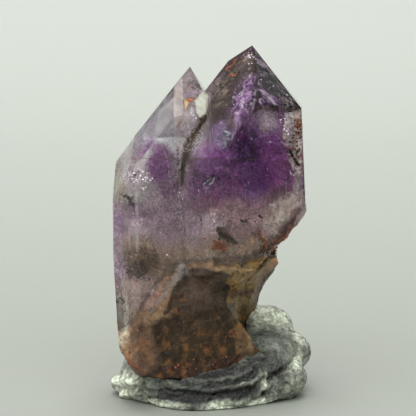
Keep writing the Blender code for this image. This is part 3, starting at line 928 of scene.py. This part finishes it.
# Old faces and healed cracks: outline in pixels, depth in mm, softness of the edge in pixels, colours as they
# look, least and most cover, and the direction and length of streaks
VEILS = [
    ("tip_left", [(251, 47), (255, 74), (250, 72), (234, 86), (228, 98), (226, 110), (213, 115), (210, 98),
     (226, 74), (240, 57)],
     0.5, 6, [(36, 29, 26), (60, 51, 45), (98, 87, 77)], (0.5, 0.95), 29, 6.0),
    # tip_right is painted shade: a near-black sheet over the right-hand tip face, with pale streaks.
    ("tip_right", [(254, 50), (278, 74), (296, 97), (280, 99), (259, 104), (256, 78)],
     0.5, 4, [(6, 4, 6), (18, 13, 16), (96, 86, 92)], (0.8, 1.0), -41, 6.0),
    ("phantom_face", [(252, 72), (256, 80), (256.5, 95), (255.5, 110), (247, 123), (237, 137), (228, 148),
     (229, 134), (232, 123), (231, 110), (232, 98), (236, 88)],
     0.4, 6, [(30, 18, 30), (92, 56, 104), (126, 96, 130), (206, 188, 184)], (0.4, 0.95), 17, 2.5),
    ("phantom_side", [(256, 75), (262, 86), (272, 94), (284, 104), (282, 109), (258, 108)],
     0.4, 6, [(20, 12, 20), (72, 50, 80), (168, 148, 160)], (0.3, 0.95), -41, 2.5),
    ("deep_face", [(228, 150), (238, 138), (248, 124), (257, 113), (263, 135), (262, 160), (246, 178),
     (230, 168)],
     0.6, 9, [(20, 10, 24), (60, 32, 74), (108, 74, 118)], (0.1, 0.8)),
    ("blue_face", [(237, 172), (262, 163), (273, 178), (266, 200), (246, 206), (236, 196)],
     0.6, 9, [(36, 20, 56), (74, 44, 102), (112, 82, 130)], (0.0, 0.6)),
    ("wine_face", [(190, 166), (210, 158), (226, 158), (236, 172), (232, 196), (202, 202), (188, 192)],
     0.6, 10, [(40, 22, 44), (86, 56, 86), (134, 100, 130)], (0.0, 0.7)),
    ("violet_rim", [(112, 200), (122, 200), (123, 245), (122, 290), (112, 292), (111, 245)],
     0.3, 6, [(84, 56, 88), (118, 90, 114), (150, 130, 150)], (0.2, 0.8)),
    ("sparkle_band", [(283, 112), (303, 109), (305, 150), (303, 176), (295, 180), (288, 160), (281, 138)],
     0.5, 6, [(96, 72, 62), (200, 170, 156), (238, 224, 220)], (0.4, 0.95)),
    ("mottled_corner", [(264, 204), (300, 186), (304, 205), (284, 224), (262, 230)],
     0.6, 9, [(130, 106, 100), (180, 154, 144), (220, 200, 192)], (0.2, 0.9)),
    ("pale_face", [(174.5, 86), (183, 78), (184, 98), (184.5, 116), (176, 130), (174, 128)],
     0.4, 0.7, [(140, 120, 116), (196, 178, 170)], (0.4, 0.7)),
    ("grey_face", [(183, 95), (197, 90), (200, 93), (194.5, 99), (184.5, 99)],
     0.35, 0.7, [(84, 70, 80), (124, 108, 118)], (0.8, 0.9)),
    ("tan_face", [(184, 99), (190, 103), (185, 115)],
     0.3, 0.7, [(160, 112, 70), (200, 158, 112)], (0.9, 1.0)),
    ("rusty_face", [(185, 99), (195.5, 99.3), (191, 103.5)],
     0.25, 0.7, [(120, 58, 30), (160, 84, 44)], (0.9, 1.0)),
    # cream_face is painted light: a pale sheet standing in for the bright backdrop seen through the groove.
    ("cream_face", [(203, 90), (208, 95), (208.8, 107), (205, 115), (200, 121), (196, 114), (194.5, 102),
     (199.5, 95)],
     0.15, 0.7, [(138, 138, 122), (174, 176, 160)], (0.85, 1.0)),
    ("white_face", [(194, 102), (196, 114), (200, 121), (193, 133), (186, 143), (180, 140), (184, 125),
     (188, 112)],
     0.4, 5, [(110, 92, 104), (200, 190, 196)], (0.2, 0.8)),
    ("dark_band", [(209.5, 111), (209.5, 116), (206, 121), (202, 128), (198, 137), (193, 145), (189, 153),
     (186.5, 162), (185, 172), (184, 186), (181, 186), (181, 172), (182, 162), (184.5, 152), (188.5, 144),
     (193, 136), (198, 126), (203, 118)],
     0.15, 0.7, [(10, 8, 8), (58, 46, 32)], (0.9, 1.0)),
]
for row in VEILS:
    veil(*row)

white_line = speck_material("white line", [(206, 198, 202), (150, 138, 148)], 0.4)
brown_line = speck_material("brown line", [(96, 74, 62), (132, 108, 90)], 0.5)
pale_line = speck_material("pale squiggle", [(150, 170, 168), (196, 208, 200)], 0.4)
# Cracks and growth lines: pixels, width in pixels, depth in mm, material, seed and share of gaps
SEAMS = [
    ("curved_crack", [(164, 147), (168, 160), (170, 176), (174, 190), (180, 198), (182, 216),
     (184, 236)], 0.8, 0.2, white_line, 21, 0.45),
    ("level_line", [(121, 159), (150, 159.5), (178, 159.5)], 0.8, 0.2, brown_line, 22, 0.1),
    ("level_line_head", [(188, 159.5), (215, 160), (272, 160)], 0.7, 0.3, brown_line, 23, 0.3),
    ("ridge_line", [(258, 110.5), (276, 110), (296, 109)], 1.2, 0.3, brown_line, 24, 0.2),
    ("upright_left", [(245, 184), (245, 206)], 0.7, 0.3, white_line, 25, 0.2),
    ("upright_right", [(285.5, 182), (285.8, 208)], 0.8, 0.3, white_line, 26, 0.1),
    ("squiggle", [(224, 133), (231, 135), (224, 138), (230, 141), (223, 144), (226, 147),
     (220, 150)], 1.6, 0.2, pale_line, 27, 0.15),
    ("squiggle_low", [(202, 186), (208, 181), (214, 178), (212, 184),
     (207, 186)], 1.2, 0.2, pale_line, 28, 0.3),
]
for row in SEAMS:
    seam(*row)

# Flecks, drawn in this order. Lines: pixels, spacing and spread in pixels, least and most size, and the
# depth where it isn't 0.2. Ovals: centre, half width and half height in pixels, turn, count, least and most
# size, and least and most depth where they aren't the usual ones of their kind. Depths are in millimetres,
# and sizes in hundredths of a millimetre.
RUST_FLECKS = [
    (240, 215, 58, 24, 0, 110, 6, 13), (296, 144, 6, 22, 0, 60, 10, 26),
    (299, 128, 4.5, 9, 0, 70, 10, 28, 0.05, 0.3), (170, 290, 50, 45, 0, 150, 7, 18),
    (142, 308, 20, 22, 0, 90, 8, 20), (157, 303, 16, 14, -30, 60, 10, 26),
    (177, 275, 14, 5, -25, 50, 10, 26), (235, 62, 14, 10, 0, 12, 12, 24),
    (282, 239, 22, 5, -45, 80, 10, 26, 0.05, 0.4), (133, 350, 14, 26, 0, 60, 8, 24, 0.05, 0.4),
    (266, 285, 4, 26, 20, 90, 8, 22), (200, 362, 34, 6, -8, 50, 8, 22, 0.0, 0.2),
    (240, 330, 16, 14, 0, 30, 8, 22, 0.0, 0.2),
    ([(257, 230), (260, 236), (265, 241), (266, 248)], 0.6, 0.5, 16, 30),
    ([(253, 233), (254, 240), (253, 247)], 1.0, 0.4, 8, 16),
    ([(240, 56), (231, 65), (226, 72)], 1.2, 0.9, 14, 30),
    ([(229, 76), (236, 76)], 0.7, 0.7, 14, 26),
    ([(182, 123), (178, 128)], 0.8, 0.4, 12, 22),
    ([(212, 246), (220, 245), (226, 248)], 0.5, 1.2, 18, 36),
    ([(212, 240), (222, 243)], 0.8, 0.8, 12, 24),
    ([(273, 260), (262, 285), (255, 306), (249, 330)], 0.35, 0.8, 8, 18, 0.3),
    ([(276, 250), (284, 241), (292, 232), (302, 221)], 0.4, 1.0, 10, 26, 0.1),
    ([(118, 318), (121, 330), (119, 344)], 0.9, 1.2, 10, 22, 0.1),
    ([(152, 268), (160, 264), (168, 262)], 1.2, 1.0, 8, 16, 0.3),
]
RED_FLECKS = [
    (235, 206, 50, 12, 0, 40, 8, 15), (160, 225, 40, 30, 0, 16, 7, 13),
    ([(203, 237.5), (206, 237.8)], 1.2, 0.1, 16, 20),
    ([(293, 209.5), (294, 210)], 1.0, 0.1, 18, 22),
    ([(273, 217), (274, 217.4)], 1.0, 0.1, 14, 18),
    ([(205, 198), (208, 198.5)], 1.5, 0.2, 16, 20),
]
BROWN_FLECKS = [
    (222, 232, 8, 4, 40, 60, 10, 20), (232, 240, 6, 2, 40, 30, 8, 18),
    (216, 261, 3.5, 4, 0, 40, 12, 22, 0.02, 0.3), (268, 252, 8, 3, -10, 25, 8, 18, 0.0, 0.3),
    (178, 176, 2, 26, 0, 50, 8, 16, 0.1, 0.4),
    ([(121, 161), (117, 172), (114, 186), (112.5, 198)], 0.4, 0.9, 10, 24),
    ([(131, 292), (131.5, 320), (131, 352)], 1.2, 0.3, 7, 14, 0.1),
    ([(205, 119), (197, 130), (190, 141), (184, 152)], 0.6, 1.2, 10, 22, 0.1),
    ([(252, 232), (258, 236), (266, 244)], 0.8, 0.8, 10, 20),
]
DARK_FLECKS = [
    (248, 148, 15, 16, 0, 260, 5, 13), (243, 140, 10, 14, 30, 120, 5, 13),
    (228, 190, 44, 22, 0, 130, 5, 12), (250, 168, 26, 18, 0, 150, 6, 15, 0.05, 0.3),
    (212, 172, 22, 14, 0, 90, 6, 15, 0.05, 0.3), (246, 98, 12, 20, 20, 130, 7, 18, 0.08, 0.3),
    (254, 86, 3, 14, 0, 60, 8, 18, 0.08, 0.3), (278, 109, 20, 4, 0, 110, 8, 18),
    (272, 80, 22, 12, 45, 160, 6, 16), (238, 75, 14, 20, 40, 80, 5, 12),
    (293, 142, 8, 24, 0, 50, 8, 22), (184, 158, 5, 30, 18, 90, 7, 16),
    (224, 234, 9, 4, 40, 60, 8, 20, 0.05, 0.2), (132, 176, 10, 9, 0, 60, 6, 15),
    (150, 205, 36, 14, 0, 60, 5, 11), (143, 262, 20, 17, 0, 330, 6, 15),
    (139, 268, 10, 8, 0, 120, 8, 18), (120, 297, 5, 6, 0, 26, 7, 16),
    (200, 300, 34, 26, 0, 160, 6, 15, -0.02, 0.2), (248, 280, 16, 24, 0, 120, 8, 22, -0.02, 0.2),
    (266, 254, 10, 2, -10, 40, 10, 20, -0.02, 0.2),
    ([(123, 195), (129, 197), (132, 200), (134, 204), (138, 205)], 0.5, 0.8, 12, 26),
    ([(131, 206), (133, 199), (136, 196)], 0.8, 0.5, 8, 16),
    ([(191, 172), (193, 174), (197, 177), (203, 178)], 1.1, 1.4, 9, 22),
    (204, 177, 12, 5, 0, 30, 7, 16, 0.05, 0.3),
    ([(203, 176), (210, 181), (214, 176)], 0.9, 0.6, 8, 16),
    ([(240, 221), (244, 220.5), (247, 221)], 0.6, 0.5, 12, 24),
    ([(258, 215), (262, 217)], 0.6, 0.3, 14, 24),
    ([(254, 221), (255.5, 221.5)], 0.7, 0.2, 12, 18),
    ([(199, 214), (201, 219), (202, 225)], 0.9, 0.4, 8, 16),
    ([(117, 300), (121, 296), (125, 299), (124, 303)], 0.6, 0.3, 9, 18),
    ([(217, 229), (221, 232), (225, 236), (231, 238), (236, 243)], 0.6, 0.7, 14, 28),
    ([(217, 229), (224, 228)], 0.8, 0.5, 10, 18),
    ([(218, 240), (222, 233)], 0.8, 0.6, 10, 20),
    ([(288, 150), (293, 158), (298, 166)], 0.5, 0.6, 14, 26),
    ([(247, 259), (240, 267), (232, 273), (228, 282)], 0.7, 0.5, 10, 20, 0.1),
    ([(226, 283), (224, 296), (222, 306)], 0.7, 0.9, 12, 24, 0.1),
]
GLINTS = [
    (288, 124, 9, 11, 0, 100, 7, 20), (297, 150, 5, 18, 0, 40, 6, 16), (294, 172, 5, 4, 0, 30, 10, 22),
    (140, 180, 14, 10, 0, 130, 7, 22), (181, 210, 3, 24, 0, 60, 6, 15),
    (170, 215, 50, 35, 0, 90, 5, 12), (245, 150, 44, 60, 0, 160, 5, 12), (214, 222, 9, 7, 0, 50, 5, 12),
    (273, 84, 20, 12, 45, 26, 6, 15), (249, 58, 7, 7, 0, 40, 7, 16),
    (244, 100, 10, 18, 20, 50, 6, 14, 0.05, 0.3), (190, 118, 12, 16, 0, 50, 5, 14),
    (160, 262, 30, 24, 0, 70, 5, 13), (246, 290, 12, 30, 0, 20, 4, 10, -0.02, 0.1),
    ([(147, 140), (150, 141)], 0.5, 0.5, 16, 28, 0.1),
    ([(283, 131), (284, 133)], 0.5, 0.5, 12, 20),
    ([(268, 142), (270, 144)], 0.5, 0.5, 12, 20),
    ([(167, 253), (169, 254)], 0.5, 0.5, 7, 12),
]


def scatter(name, seed, rows, depths, colours, roughness, kind="grain", metallic=0.0):
    """The piece with all flecks of one kind."""
    specks = Specks(seed, depths, kind)
    for row in rows:
        if isinstance(row[0], list):
            specks.chain(*row)
        else:
            specks.zone(*row)
    bmesh.ops.recalc_face_normals(specks.bm, faces=specks.bm.faces[:])
    material = speck_material(name.replace("_", " "), colours, roughness, metallic)
    new_piece(name, mesh_from(specks.bm, name), material, slot="amethyst")


scatter("rust_flecks", 3, RUST_FLECKS, (0.1, 0.4), [(104, 48, 32), (168, 100, 56), (92, 38, 28)], 0.5)
scatter("red_flecks", 4, RED_FLECKS, (0.05, 0.4), [(156, 20, 18), (112, 24, 24)], 0.4)
scatter("brown_flecks", 6, BROWN_FLECKS, (0.05, 0.2), [(66, 46, 26), (108, 78, 48)], 0.5)
scatter("dark_flecks", 5, DARK_FLECKS, (0.08, 0.4), [(20, 15, 16), (52, 36, 26)], 0.4)
scatter("glints", 8, GLINTS, (0.05, 0.35), [(250, 244, 250), (222, 206, 226)], 0.25, "plate", 1.0)


# The putty
PUTTY_CELL = 0.2  # size of its even faces, in millimetres
CLING = 1.5  # how near to the crystal it is drawn towards it, in millimetres
CLEARANCE = 0.04  # the gap that stays there, in millimetres
# Folds and creases as lines of pixels with their width and height or depth in millimetres
FOLDS = [
    ([(150, 380), (162, 377.5), (183, 376), (194, 378), (210, 379), (226, 377), (242, 373),
      (251, 368)], 0.4, 0.34),
    ([(150, 385), (167, 382.5), (180, 384), (194, 384), (207, 386.5), (222, 385), (237, 384),
      (250, 381)], 0.4, 0.36),
    ([(250, 381), (258, 376), (265, 373), (265.5, 388)], 0.35, 0.45),
    ([(216, 396), (236, 401), (256, 393), (268, 386)], 0.45, 0.32),
    ([(112, 382), (124, 381), (136, 381)], 0.6, 0.35),
    ([(114, 395), (130, 396), (150, 400), (176, 405)], 0.5, 0.30),
]
CREASES = [
    ([(292, 362), (279, 370), (269, 377), (267, 387), (262, 397)], 0.30, 0.55),
    ([(289, 366), (299, 355), (296, 344), (287, 335)], 0.35, 0.50),
    ([(257, 336), (266, 334.5), (274, 334), (283, 337), (294, 331)], 0.30, 0.30),
    ([(255, 343), (262, 341), (270, 343)], 0.25, 0.20),
    ([(252, 352), (262, 350), (270, 352)], 0.25, 0.20),
    ([(250, 360), (260, 357), (268, 359)], 0.25, 0.20),
    ([(113, 390), (128, 389), (142, 391)], 0.35, 0.40),
    ([(201, 371), (216, 371), (230, 370)], 0.45, 0.35),
    ([(276, 372), (285, 384), (292, 392)], 0.35, 0.25),
]
# Centre and radii in pixels, and for a hollow how deep in mm, where it also gets painted shade, or for a pale
# place how much paler, which is painted light
HOLLOWS = [
    ((193, 394.5), (24, 9), 0.7), ((241, 389), (13, 4), 0.4), ((222, 391), (13, 6), 0.4),
    ((306, 352), (4, 9), 0.2),
]
PAINTED_LIGHT_PLACES = [
    ((124, 384), (17, 14), 7.0), ((268, 314), (22, 14), 7.5), ((288, 322), (10, 10), 3.0),
    ((274, 343), (12, 7), 0.8), ((302, 336), (9, 13), 3.8), ((299, 362), (9, 9), 4.5),
    ((299, 388), (12, 8), 3.0), ((264, 379), (4, 7), 2.6), ((268, 400), (34, 5), 1.2),
]
# Painted light: the lower rim of the putty is made paler.
RIM_TOP = (396, 401)  # rows of pixels over which the pale lower rim sets in
RIM_GAP, RIM_GAP_WIDTH = 194, 18  # column of pixels where the rim is missing, and how far that reaches
# Painted shade on the putty under and beside the crystal's foot: how much darker, and the pixels over which
# it sets in from above, below, left and right
PAINTED_SHADE_PLACES = [
    (0.95, (378, 390), (402, 396), (148, 166), (266, 240)),
    (0.85, (358, 366), (384, 377), (136, 146), (262, 244)),
    (0.45, (346, 356), (384, 372), (240, 256), (300, 275)),
]


def from_line(x, y, points):
    """Distance from a broken line in millimetres, above 0 below the line and under 0 above it."""
    best, sign = 1e9, 1.0
    for start, end in zip(points, points[1:]):
        away = from_segment(x, y, start, end)
        if away < best:
            side = (y - start[1]) * (end[0] - start[0]) - (x - start[0]) * (end[1] - start[1])
            best, sign = away, math.copysign(1.0, side)
    return best * sign * PIXEL


def bell(*shares):
    """From 1 where all shares are 0 down to almost 0 where one of them is 2."""
    return math.exp(-sum(share ** 2 for share in shares))


def kneaded(q, facing_front):
    """How far the putty bulges at a point, in millimetres, and how pale it is: its painted light and shade.
    """
    px, py = pixel(q)
    wave = fbm(q, 1.6, 2)
    height = 0.22 * fbm(q, 3.0, 3) + 0.10 * fbm(q + Vector((7, 2, 5)), 0.9, 2)
    ridge = abs(fbm(q + Vector((5, 1, 8)), 2.6, 2))
    height -= 0.22 * smooth(0.10, 0.0, ridge)
    # Painted light and shade: paler where the putty bulges, darker where it dips.
    shade = 1.0 + 0.8 * height
    if facing_front > 0:
        px += 3 * wave
        py += 2.5 * fbm(q + Vector((1, 9, 4)), 1.3, 2)
        for points, width, tall in FOLDS:
            d = from_line(px, py, points)
            if abs(d) < 3:
                top = bell(d / width)
                under = bell((d - 1.5 * width) / (0.9 * width))
                height += facing_front * tall * (top - 0.9 * under)
                # Painted highlight along the fold's crest and painted shade just under it.
                shade += facing_front * (0.7 * top - 0.55 * under)
        for points, width, deep in CREASES:
            d = from_line(px, py, points)
            dip = bell(d / width) if abs(d) < 3 else 0.0
            height -= facing_front * deep * dip
            # Painted shade in the crease.
            shade -= facing_front * 0.7 * dip
        for (cx, cy), (rx, ry), deep in HOLLOWS:
            dip = bell((px - cx) / rx, (py - cy) / ry)
            height -= facing_front * deep * dip
            # Painted shade in the hollow.
            shade -= facing_front * 0.9 * dip
        # Painted light on the lobes, bulges and tab that catch the light.
        for (cx, cy), (rx, ry), gain in PAINTED_LIGHT_PLACES:
            shade += facing_front * gain * bell((px - cx) / rx, (py - cy) / ry)
        for loss, above, below, left, right in PAINTED_SHADE_PLACES:
            place = smooth(*above, py) * smooth(*below, py) * smooth(*left, px) * smooth(*right, px)
            shade -= facing_front * loss * place
        # Painted light on the lower rim, left out round the middle of the front.
        painted_rim_light = smooth(*RIM_TOP, py) * (1 - bell((px - RIM_GAP) / RIM_GAP_WIDTH))
        shade += facing_front * 7.0 * painted_rim_light
    return height, min(8.0, max(0.03, shade))


def make_putty():
    piece = bpy.data.objects.new("putty_base", merged_copy(cad_putty, "putty"))
    scene.collection.objects.link(piece)
    remesh(piece, PUTTY_CELL)
    bm = bmesh_of(piece.data)
    bpy.data.objects.remove(piece)
    soften(bm, bm.verts[:], 3)
    painted_light_layer = bm.verts.layers.float.new("shade")
    bm.normal_update()
    ways = [vert.normal.copy() for vert in bm.verts]
    for vert, way in zip(bm.verts, ways):
        q = model(vert.co)
        height, vert[painted_light_layer] = kneaded(q, smooth(-0.1, 0.35, way.dot(TOWARD_VIEWER)) * smooth(10.0, 7.0, q.y))
        if vert.co.z < 0.2 * MM:
            continue
        vert.co += way * height * MM
        vert.co.z = max(vert.co.z, 0.0)
        near, normal, _, gap = crystal_tree.find_nearest(vert.co)
        if gap < CLING * MM:
            outside = (vert.co - near).normalized()
            if (vert.co - near).dot(normal) < 0:
                outside, gap = normal, 0.0
            share = smooth(0.5, CLING, gap / MM)
            vert.co = near + outside * (CLEARANCE * MM + gap * (0.06 + 0.94 * share))
    lump = new_piece("putty_lump", mesh_from(bm, "putty_lump", smooth=True), putty_material(), slot="putty")
    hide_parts("mounting_putty")


def putty_material():
    m = Nodes("grey putty")
    place = m.place()
    fine = m.ramp(m.noise(place, 2200.0, 4.0, 0.65), [(0.3, 0.6), (0.7, 1.45)])
    grain = m.noise(place, 1000.0, 4.0, 0.7)
    body = m.ramp(m.noise(place, 160.0, 4.0),
                  [(0.3, srgb(74, 77, 68)), (0.5, srgb(91, 94, 84)), (0.7, srgb(114, 117, 106))])
    # The grain ramp paints shade into the pits and light onto the crests of the grain that also bumps the
    # surface; the shade attribute brings the painted light and shade from kneaded.
    for shade in (fine, m.ramp(grain, [(0.36, 0.5), (0.5, 0.9), (0.64, 1.7)]), m.attribute("shade", "Color")):
        body = m.blend(1.0, body, shade, "MULTIPLY")
    prints = m.add("TexWave", wave_type="BANDS", bands_direction="DIAGONAL", Vector=place, Scale=340.0,
                   Distortion=4.0, Detail=2.0, Detail_Scale=0.4)
    where = m.ramp(m.noise(place, 110.0, 1.0), [(0.45, 0.0), (0.6, 1.0)])
    ridges = m.math("MULTIPLY", prints.outputs["Fac"], where)
    relief = m.bump(ridges, 0.0001, 0.8, Normal=m.bump(grain, 0.0009))
    m.set(Base_Color=body, Roughness=m.ramp(grain, [(0.35, 0.18), (0.7, 0.45)]), Specular_IOR_Level=0.5)
    m.set(Coat_Weight=0.6, Coat_Roughness=0.12, Normal=relief, Coat_Normal=relief)
    return m.material


make_putty()


# Floor, backdrop and light, in metres
FLOOR_END, BEND = 0.25, 0.15  # where the floor turns up behind, and the radius of that bend
AIM = Vector((0, 0, 0.02))
# Direction of a patch, the cosines at which it starts and is full, and the light outside and inside it
BRIGHT_PATCHES = [((-0.1, -0.5, 0.86), 0.62, 1.0, 0.08, 3.2), ((0.0, 0.8, 0.6), 0.3, 0.9, 0.0, 0.35)]


def make_stage():
    bm = bmesh.new()
    sweep = [Vector((0, y, 0)) for y in (-1.2, -0.3, 0.0, FLOOR_END)]
    for step in range(1, 13):
        a = math.radians(80 * step / 12)
        sweep.append(Vector((0, FLOOR_END + BEND * math.sin(a), BEND * (1 - math.cos(a)))))
    rows = []
    for x in (-1.5, 1.5):
        rows.append([bm.verts.new(p + Vector((x, 0, -0.00001))) for p in sweep])
    for a, b, c, d in zip(rows[0], rows[1], rows[1][1:], rows[0][1:]):
        bm.faces.new((a, b, c, d))
    m = Nodes("pale floor")
    # Painted light: the floor's colour grows paler towards the back, standing in for the brighter light
    # there.
    far = m.math("MULTIPLY", m.add("SeparateXYZ", Vector=m.place()).outputs["Y"], 3.0)
    m.set(Base_Color=m.ramp(far, [(0.1, srgb(131, 134, 127)), (1.0, srgb(155, 158, 152))]), Roughness=0.6)
    floor = new_piece("floor", mesh_from(bm, "floor", smooth=True), m.material, rides=False)


def add_light(name, place, size, power):
    data = bpy.data.lights.new(name, "AREA")
    data.shape = "RECTANGLE"
    data.size, data.size_y = size
    data.energy = power
    light = bpy.data.objects.new(name, data)
    light.location = place
    light.rotation_euler = (AIM - Vector(place)).to_track_quat("-Z", "Y").to_euler()
    scene.collection.objects.link(light)


def make_surround():
    """Soft light all round: a wide bright patch above the front, a smaller one behind, dim elsewhere."""
    m = Nodes("surround", bpy.data.worlds, "Background")
    way = m.add("TexCoord").outputs["Generated"]
    amounts = []
    for toward, start, end, dim, bright in BRIGHT_PATCHES:
        along = m.add("VectorMath", operation="DOT_PRODUCT")
        m.give(along, 0, way)
        m.give(along, 1, toward)
        amount = m.add("MapRange", interpolation_type="SMOOTHSTEP", Value=along.outputs["Value"],
                       From_Min=start, From_Max=end, To_Min=dim, To_Max=bright)
        amounts.append(amount.outputs["Result"])
    m.set(Strength=m.math("ADD", *amounts), Color=(0.97, 1.0, 0.97, 1))
    scene.world = m.material


make_stage()
make_surround()
add_light("back", (0.0, 0.42, 0.42), (0.9, 0.5), 1.0)
add_light("left", (-0.48, -0.08, 0.22), (0.45, 0.4), 0.9)
add_light("front", (-0.03, -0.47, 0.65), (0.6, 0.45), 1.2)
add_light("top", (0.0, 0.10, 0.60), (0.3, 0.2), 2.5)

scene.view_settings.view_transform = "Standard"
scene.cycles.max_bounces = 24
scene.cycles.transmission_bounces = 16
scene.cycles.transparent_max_bounces = 32
scene.cycles.sample_clamp_indirect = 4.0
scene.cycles.use_denoising = True
scene.cycles.denoising_prefilter = "FAST"
